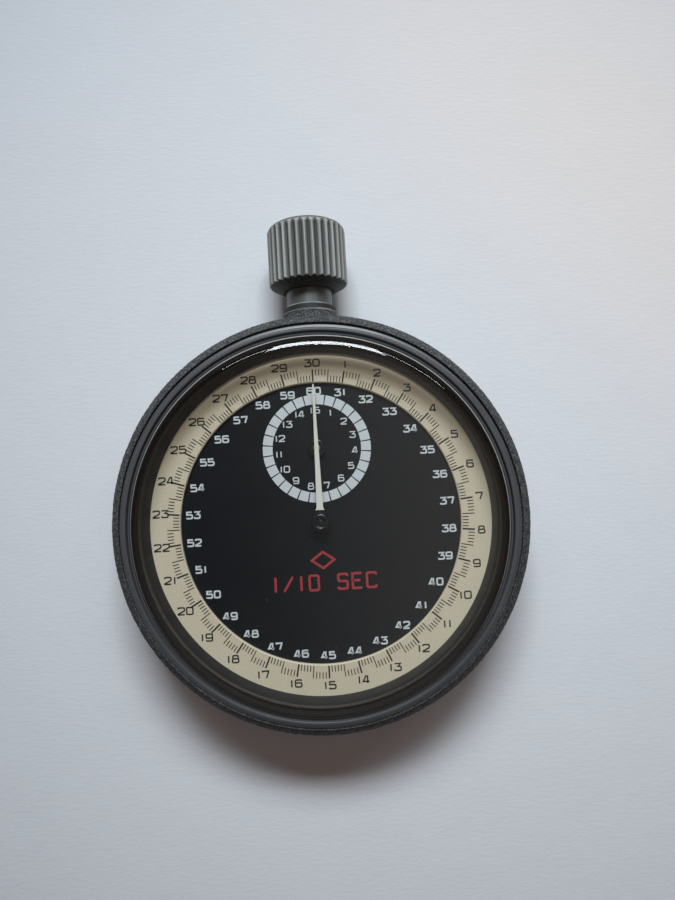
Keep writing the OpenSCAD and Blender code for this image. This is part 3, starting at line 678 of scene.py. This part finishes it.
def collar():
    """Points and faces of the round collar: crinkled skin, then a smooth band and a chamfered end."""
    root = 23.6
    outline = rounded(
        [
            (0, root),
            (COLLAR_R, root),
            (COLLAR_R, COLLAR_END - 0.35, 0.06),
            (COLLAR_R - 0.4, COLLAR_END, 0.1),
            (0, COLLAR_END),
        ]
    )
    verts, faces = turned(refined(outline, 0.14), 160, "y")
    for i, point in enumerate(verts):
        on_side = math.hypot(point[0], point[2] - STEM_Z) > COLLAR_R - 0.1
        if on_side and CASE_R < point[1] < COLLAR_END - COLLAR_BAND:
            verts[i] = crinkled(point, 0.11)
    return verts, faces


def loose_mesh(name, verts, faces):
    """A closed mesh that is not a piece yet."""
    mesh = bpy.data.meshes.new(name)
    mesh.from_pydata((np.asarray(verts, float) * MM).tolist(), [], faces)
    bm = bmesh.new()
    bm.from_mesh(mesh)
    bmesh.ops.remove_doubles(bm, verts=bm.verts, dist=1e-7)
    bmesh.ops.recalc_face_normals(bm, faces=bm.faces)
    bm.to_mesh(mesh)
    bm.free()
    obj = bpy.data.objects.new(name, mesh)
    bpy.context.scene.collection.objects.link(obj)
    return obj


def joined(body, tool, operation):
    """Adds the tool to the body or cuts it out, and removes the tool."""
    cut = body.modifiers.new("cut", "BOOLEAN")
    cut.operation = operation
    cut.object = tool
    cut.solver = "MANIFOLD"
    graph = bpy.context.evaluated_depsgraph_get()
    made = bpy.data.meshes.new_from_object(body.evaluated_get(graph))
    body.modifiers.clear()
    body.data = made
    bpy.data.objects.remove(tool)


def bezel_ring():
    """Snap-on bezel: a thin flange with a worn edge, a fine groove, and a crown that rolls over inwards."""
    inner = CRYSTAL_R + 0.1
    flange = BEZEL_TOP - 1.3
    outline = rounded(
        [
            (inner, SNAP_Z, 0.03),
            (BEZEL_R, SNAP_Z, 0.05),
            (BEZEL_R + 0.12, 10.7),
            (BEZEL_R + 0.12, flange, 0.1),
            (BEZEL_R - 0.28, flange + 0.12, 0.06),
            (BEZEL_R - 0.4, flange - 0.15),
            (BEZEL_R - 0.5, BEZEL_TOP - 0.55, 0.3),
            (inner + 0.8, BEZEL_TOP - 0.05, 0.25),
            (inner + 0.41, BEZEL_TOP - 0.08, 0.08),
            (inner + 0.31, BEZEL_TOP - 0.75),
            (inner, BEZEL_TOP - 0.8),
        ],
        steps=6,
    )
    verts, faces = turned(outline, 360)
    return piece("bezel_ring", verts, faces, BEZEL_PAINT, replaces=("bezel",), sharp=40)


def crystal_glass():
    """Domed crystal, hollow underneath, whose shoulder curves down ever faster to a ground edge."""
    rim, bow, fall, sharpness = 22.66, 0.6, 0.62, 30
    rings, crowding = 60, 1.9
    dome = []
    for k in range(rings + 1):
        share = 1 - (k / rings) ** crowding
        dome.append((rim * share, CRYSTAL_TOP - bow * share**2 - fall * share**sharpness))
    foot = [
        (0, 12.9),
        (12.0, 12.7),
        (GLASS_HOLLOW_R, 12.25),
        (GLASS_HOLLOW_R, GLASS_SEAT + 0.02),
        (CRYSTAL_R, GLASS_SEAT + 0.02),
        (CRYSTAL_R, 12.35, 0.03),
    ]
    verts, faces = turned(rounded(foot + dome, steps=6), 360)
    glass = piece("crystal_glass", verts, faces, CRYSTAL, replaces=("crystal",), sharp=40)
    glass.data.materials.append(SHOULDER_SHADOW_TINT)
    glass.data.materials.append(GROUND_EDGE)
    for face in glass.data.polygons:
        out = math.hypot(face.center.x, face.center.y) / MM
        if out > rim and 0.1 < face.normal.z < 0.95:
            face.material_index = 2
        # Shoulder faces get the darkened acrylic that casts a painted shadow.
        elif out > GLASS_SHOULDER_R and face.normal.z > -0.5:
            face.material_index = 1
    return glass


def reflector():
    """Black ring that slopes from the crystal down to the rim of the dial."""
    inner = CHAPTER_R - 0.05
    foot_z = 9.87
    outline = rounded(
        [
            (inner, foot_z),
            (REFLECTOR_FOOT_R, foot_z),
            (REFLECTOR_FOOT_R, SNAP_Z),
            (CRYSTAL_R, SNAP_Z),
            (CRYSTAL_R, GLASS_SEAT),
            (CRYSTAL_R - 0.95, GLASS_SEAT, 0.1),
            (inner, 10.1, 0.06),
        ]
    )
    verts, faces = turned(outline, 360)
    node = ("reflector_ring",)
    return piece("reflector", verts, faces, REFLECTOR_PAINT, replaces=node)


def back_cover():
    """Snap back: flat face with a softened edge and the lip that holds it in the case."""
    lip_r, lip_end, thick = 23.42, 2.0, 0.8
    outline = rounded(
        [
            (0, 0),
            (BACK_R - 0.65, 0, 0.25),
            (BACK_R, thick / 2, 0.12),
            (BACK_R, thick, 0.06),
            (lip_r, thick, 0.05),
            (lip_r, lip_end, 0.1),
            (lip_r - 0.92, lip_end, 0.1),
            (lip_r - 0.92, thick, 0.1),
            (0, thick),
        ]
    )
    verts, faces = turned(outline, 360)
    node = ("case_back",)
    return piece("back_cover", verts, faces, BACK_PAINT, replaces=node, sharp=25)


# ---------------------------------------------------------------- dial


def chapter_face():
    """Raised cream seconds ring with a small bevel inside."""
    outline = [
        (CHAPTER_IN, DIAL_TOP),
        (CHAPTER_R, DIAL_TOP),
        (CHAPTER_R, CHAPTER_TOP),
        (CHAPTER_IN + 0.12, CHAPTER_TOP),
        (CHAPTER_IN, CHAPTER_TOP - 0.1),
    ]
    verts, faces = turned(outline, 360)
    node = ("chapter_ring",)
    return piece("chapter_face", verts, faces, CREAM, replaces=node, sharp=20)


def second_ticks():
    """Ten divisions to a second: outer halves first, a whole one at the half, inner halves after."""
    strokes = []
    whole = SECONDS * 10
    for i in range(whole):
        tenth = i % 10
        inner = TICK_MID if 0 < tenth < 5 else TICK_IN
        outer = TICK_MID if tenth > 5 else TICK_OUT
        width = 0.2 if tenth == 0 else 0.11
        strokes.append(([clock(i, whole, inner), clock(i, whole, outer)], width, False))
    return printed("second_ticks", strokes, CHAPTER_TOP, BLACK_INK)


def numerals():
    """The numbers of the seconds, of the second half minute and of the recorded minutes."""
    seconds = []
    half_minutes = []
    for n in range(1, SECONDS + 1):
        seconds += lettering(str(n), clock(n, SECONDS, SECOND_R), 1.02, 0.95, 0.18, 0.09)
        spot = clock(n, SECONDS, HALF_MINUTE_ACROSS, up=HALF_MINUTE_UP)
        half_minutes += lettering(str(n + SECONDS), spot, 0.98, 0.88, 0.2, 0.08)
    printed("second_numerals", seconds, CHAPTER_TOP, BLACK_INK)
    printed("half_minute_numerals", half_minutes, DIAL_TOP, WHITE_INK)
    minutes = []
    centre = (0.0, RECORDER_Y)
    for n in range(1, MINUTES + 1):
        minutes += lettering(str(n), clock(n, MINUTES, MINUTE_R, centre), 0.87, 0.8, 0.15, 0.07)
    printed("minute_numerals", minutes, DIAL_TOP, WHITE_INK)


def minute_blocks():
    """Ring of pale blocks round the recorder, two to a minute."""
    middle = (BLOCK_IN + BLOCK_OUT) / 2
    half_gap = BLOCK_GAP / 2 / (TAU * middle)
    count = 2 * MINUTES
    strokes = []
    for i in range(count):
        start = i / count + half_gap
        end = (i + 1) / count - half_gap
        arc = [clock(start + (end - start) * k / 8, 1, middle, (0.0, RECORDER_Y)) for k in range(9)]
        strokes.append((arc, BLOCK_OUT - BLOCK_IN, False))
    return printed("minute_blocks", strokes, DIAL_TOP, WHITE_INK)


def red_mark():
    """Plain red line of lettering that names the division of the dial, with a rhombus over it."""
    stroke, line_y, rhombus_y = 0.3, -7.5, -4.75
    strokes = lettering("1/10 SEC", (0.0, line_y), 2.1, 1.42, stroke, 0.36)
    half_wide, half_high = 1.4, 1.0
    rhombus = [(0, half_high), (half_wide, 0), (0, -half_high), (-half_wide, 0)]
    strokes.append(([(x, y + rhombus_y) for x, y in rhombus], stroke, True))
    return printed("red_mark", strokes, DIAL_TOP, RED_INK)


def lofted_blade(stations, bottom, top, bevel):
    """Flat hand from (y, half width) stations, with its upper edges bevelled."""
    verts = []
    for y, half in stations:
        flat = half - min(bevel, half * 0.5)
        left = [(-half, bottom), (-half, top - bevel), (-flat, top)]
        verts += [(x, y, z) for x, z in left] + [(-x, y, z) for x, z in reversed(left)]
    n = 6
    faces = []
    for i in range(len(stations) - 1):
        for k in range(n):
            a, b = i * n + k, i * n + (k + 1) % n
            faces.append((a, b, b + n, a + n))
    last = (len(stations) - 1) * n
    faces += [tuple(range(n)), tuple(range(last + n - 1, last - 1, -1))]
    return verts, faces


def sweep_hand():
    """Cream sweep blade on its black boss, with the arbor's end in the middle."""
    tip = high("seconds_hand", 1)
    stations = [(1.50, 0.60), (1.62, 0.47), (1.9, 0.41), (9.0, 0.27), (tip - 0.15, 0.11), (tip, 0.07)]
    verts, faces = lofted_blade(stations, HAND_BOTTOM, HAND_TOP, 0.05)
    piece("sweep_blade", verts, faces, HAND_CREAM, "seconds", ("seconds_hand",), 20)
    root = [(0.9, 0.66), (1.25, 0.62), (1.50, 0.58)]
    verts, faces = lofted_blade(root, HAND_BOTTOM, HAND_TOP - 0.01, 0.05)
    piece("sweep_root", verts, faces, HAND_BLACK, "seconds")
    crest = high("seconds_hand", 2)
    outline = rounded(
        [
            (0, 9.95),
            (1.2, 9.95, 0.05),
            (1.2, crest - 0.25, 0.1),
            (0.92, crest - 0.02, 0.25),
            (0.74, crest, 0.05),
            (0.5, crest - 0.14, 0.3),
            (0.4, crest - 0.3, 0.03),
            (0.3, crest - 0.3, 0.03),
            (0.3, crest - 0.16, 0.05),
            (0.12, crest - 0.12),
            (0, crest - 0.12),
        ]
    )
    verts, faces = turned(outline, 64)
    piece("sweep_boss", verts, faces, HAND_BLACK, "seconds", sharp=50)


def recorder_hand():
    """Black minute hand with a ringed hub on a brass post."""
    tip = high("minute_hand", 1) - RECORDER_Y
    stations = [(0.9, 0.3), (1.6, 0.24), (tip - 0.2, 0.12), (tip, 0.08)]
    verts, faces = lofted_blade(stations, 9.8, 9.95, 0.04)
    verts = [(x, y + RECORDER_Y, z) for x, y, z in verts]
    piece("recorder_blade", verts, faces, HAND_BLACK, "recorder", ("minute_hand",), 20)
    hub = rounded(
        [(0, 9.5), (1.1, 9.5), (1.1, HUB_Z, 0.08), (0.85, HUB_Z + 0.07, 0.06), (0.7, HUB_Z, 0.05), (0, HUB_Z)]
    )
    post = rounded(
        [(0, 9.9), (0.46, 9.9), (0.46, 10.3, 0.1), (0.2, 10.32), (0.14, 10.22, 0.03), (0, 10.22)]
    )
    for name, outline, finish, slot in (
        ("recorder_hub", hub, HAND_BLACK, "dial_black"),
        ("recorder_post", post, BRASS, "brass"),
    ):
        verts, faces = turned(outline, 48)
        verts = [(x, y + RECORDER_Y, z) for x, y, z in verts]
        piece(name, verts, faces, finish, "recorder", sharp=50)


# ---------------------------------------------------------------- crown


def fluted_crown():
    """Fluted crown: every flute is a vee whose ends run out on the cone below and the chamfer above."""
    flutes = 32
    pitch = TAU * CROWN_R / flutes
    half_vee = 0.46
    depth = 0.42
    deepest = 0.93  # share of the full depth where the floor of a vee is blunt
    offsets = [-0.5, -0.455, -0.42, -0.3, -0.15, -0.03, 0.03, 0.15, 0.3, 0.42, 0.455]
    cone_r, cone_y = 3.5, 31.15
    recess_r, recess_y = 3.06, 33.7
    hub_r, hub_y = 1.9, 31.0
    bore_r, bore_y = 0.6, 35.0
    inside = [
        (recess_r, CROWN_START),
        (recess_r, recess_y),
        (hub_r, recess_y),
        (hub_r, hub_y),
        (bore_r, hub_y),
        (bore_r, bore_y),
        (0.0, bore_y),
    ]
    verts = []
    for f in range(flutes):
        for offset in offsets:
            cut = min(max(0.0, 1 - abs(offset) * pitch / half_vee), deepest)
            radius = CROWN_R - depth * cut
            y_low = CROWN_START + (cone_y - CROWN_START) * (radius - cone_r) / (CROWN_R - cone_r)
            rim = [
                (0.0, CROWN_END),
                (3.9, CROWN_END - 0.06),
                (4.5, CROWN_END - 0.2),
                (4.9, CROWN_END - 0.44),
                (5.07, CROWN_END - 0.68),
                (CROWN_R - 0.55 * depth * cut, CROWN_END - 0.95),
                (radius, CROWN_END - 1.25),
                (radius, y_low),
                (cone_r + 0.06, CROWN_START + 0.06),
                (cone_r - 0.05, CROWN_START),
            ]
            a = TAU * (f + 0.5 + offset) / flutes
            outline = rim + inside
            verts += [(r * math.sin(a), y, STEM_Z + r * math.cos(a)) for r, y in outline]
    faces = wrapped(outline, flutes * len(offsets))
    return piece("fluted_crown", verts, faces, CROWN_GREY, "crown_stem", ("crown",), 24)


# ---------------------------------------------------------------- carried CAD nodes

FINISH_OF_NODE = {
    STEEL: [
        "stem", "stem_sleeve", "return_spring", "barrel_arbor", "ratchet_wheel", "click", "click_spring",
        "crown_wheel", "winding_pinion", "seconds_arbor", "pallet_fork", "balance_staff", "regulator",
        "seconds_heart", "minute_heart", "column_wheel", "column_jumper", "operating_lever",
        "reset_hammer", "brake_lever",
    ],
    BLUED: [
        "dog_screws", "bridge_screws", "mainspring", "ratchet_screw", "crown_wheel_screw", "hairspring",
        "hammer_spring", "lever_screws",
    ],
    BRASS: [
        "main_plate", "barrel_drum", "barrel_cover", "centre_wheel", "third_wheel", "fourth_wheel",
        "escape_wheel", "balance_wheel", "intermediate_wheel", "minute_wheel",
    ],
    NICKEL: [
        "movement_ring", "barrel_bridge", "train_bridge", "balance_cock", "pallet_bridge",
        "recorder_bridge",
    ],
    RUBY: ["jewels", "pallet_stones"],
    SEAL: ["crystal_gasket", "back_gasket"],
    DIAL_BLACK: ["dial"],
    NECK_GREY: ["pendant_tube"],
}


def finish_cad_nodes():
    """Gives every CAD node that shows its own shape a procedural finish."""
    for finish, nodes in FINISH_OF_NODE.items():
        for node in nodes:
            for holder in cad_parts[node].material_slots:
                holder.material = finish


# ---------------------------------------------------------------- stage


def paper_sheet():
    """Plain pale paper with a faint tooth and soft waves, with painted shade darkening it away from the watch
    and a painted pool of warm light at one side.
    """
    f = new_finish("pale_paper")
    x, y, _ = f.axes()
    tooth = f.grain(0.6, 4.0, 0.65, (0.5, 1.3, 1.0))
    wave = f.grain(9.0, 3.0, 0.5)
    # Painted shade: the paper darkens away from the watch as the light falls off.
    spread = 60.0
    across = (x - 16.0) * (1 / spread)
    along = (y - 6.0) * (1 / spread)
    painted_falloff_shade = 0.36 * (across * across + along * along)
    # Painted light: a warm pool of light towards one side of the paper.
    painted_warm_light = (x * 0.7 + y * 0.7).between(25.0, 75.0)
    fresh = f.mix(0.6 * tooth + 0.4 * wave, (0.76, 0.775, 0.80), (0.83, 0.835, 0.85))
    paper_with_warm_light = f.mix(painted_warm_light, fresh, (0.90, 0.82, 0.77))
    paper = f.surface(
        Base_Color=f.mix(painted_falloff_shade, paper_with_warm_light, (0.50, 0.52, 0.55)),
        Roughness=0.9,
        Specular_IOR_Level=0.15,
        Normal=f.bump(0.35 * tooth + wave, 0.10),
    )
    mesh = bpy.data.meshes.new("paper_sheet")
    half = 0.6
    corners = [(-half, -half, 0), (half, -half, 0), (half, half, 0), (-half, half, 0)]
    mesh.from_pydata(corners, [], [(0, 1, 2, 3)])
    mesh.materials.append(paper)
    sheet = bpy.data.objects.new("paper_sheet", mesh)
    bpy.context.scene.collection.objects.link(sheet)


def panel(name, bearing, elevation, distance, width, height, power, tint):
    """A soft lamp at a bearing clockwise from the crown's side, aimed at the dial."""
    lamp = bpy.data.lights.new(name, "AREA")
    lamp.shape = "RECTANGLE"
    lamp.size = width
    lamp.size_y = height
    lamp.energy = power
    lamp.color = tint
    holder = bpy.data.objects.new(name, lamp)
    a, e = math.radians(bearing), math.radians(elevation)
    toward = Vector((math.sin(a) * math.cos(e), math.cos(a) * math.cos(e), math.sin(e)))
    holder.location = toward * distance
    holder.rotation_euler = toward.to_track_quat("Z", "Y").to_euler()
    bpy.context.scene.collection.objects.link(holder)


def room():
    """Dim warm surroundings under a pale ceiling that is brighter to the right of the watch."""
    world = bpy.data.worlds.new("room")
    bpy.context.scene.world = world
    f = Finish(world)
    direction = f.add("ShaderNodeTexCoord")
    across, _, up = (f.add("ShaderNodeSeparateXYZ", {}, {0: direction}, out) for out in range(3))
    ceiling = f.mix(across.between(-0.3, 0.3), (0.045, 0.055, 0.065), (0.36, 0.35, 0.34))
    tone = f.mix(up.between(0.80, 0.93), (0.085, 0.046, 0.034), ceiling)
    glow = f.add("ShaderNodeBackground", {}, {"Color": tone, "Strength": 1.0})
    f.add("ShaderNodeOutputWorld", {}, {"Surface": glow})


def camera():
    """Close hand-held view from above, just right of the middle."""
    lens = bpy.data.cameras.new("camera")
    lens.lens = 26.0
    lens.sensor_width = 36.0
    lens.clip_start = 0.002
    eye = bpy.data.objects.new("camera", lens)
    eye.location = Vector((2.70, 4.34, 90.71)) * MM
    eye.rotation_euler = (0.0547, 0.0047, -0.0581)
    bpy.context.scene.collection.objects.link(eye)
    bpy.context.scene.camera = eye


camera()
case_shell()
# The crystal's thick edge carries the light past these, and its shoulder, darkened as a painted shadow, casts
# their soft shadow.
for rim_part in (bezel_ring(), reflector(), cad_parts["crystal_gasket"]):
    rim_part.visible_shadow = False
crystal_glass()
back_cover()
chapter_face()
second_ticks()
numerals()
minute_blocks()
red_mark()
sweep_hand()
recorder_hand()
fluted_crown()
finish_cad_nodes()
paper_sheet()
panel("window", 3.0, 44, 0.6, 0.30, 0.137, 3.25, (0.84, 0.93, 1.0))
panel("window_sides", 7.0, 44, 0.59, 0.72, 0.03, 0.8, (0.84, 0.93, 1.0))
room()
bpy.context.scene.view_settings.view_transform = "Standard"
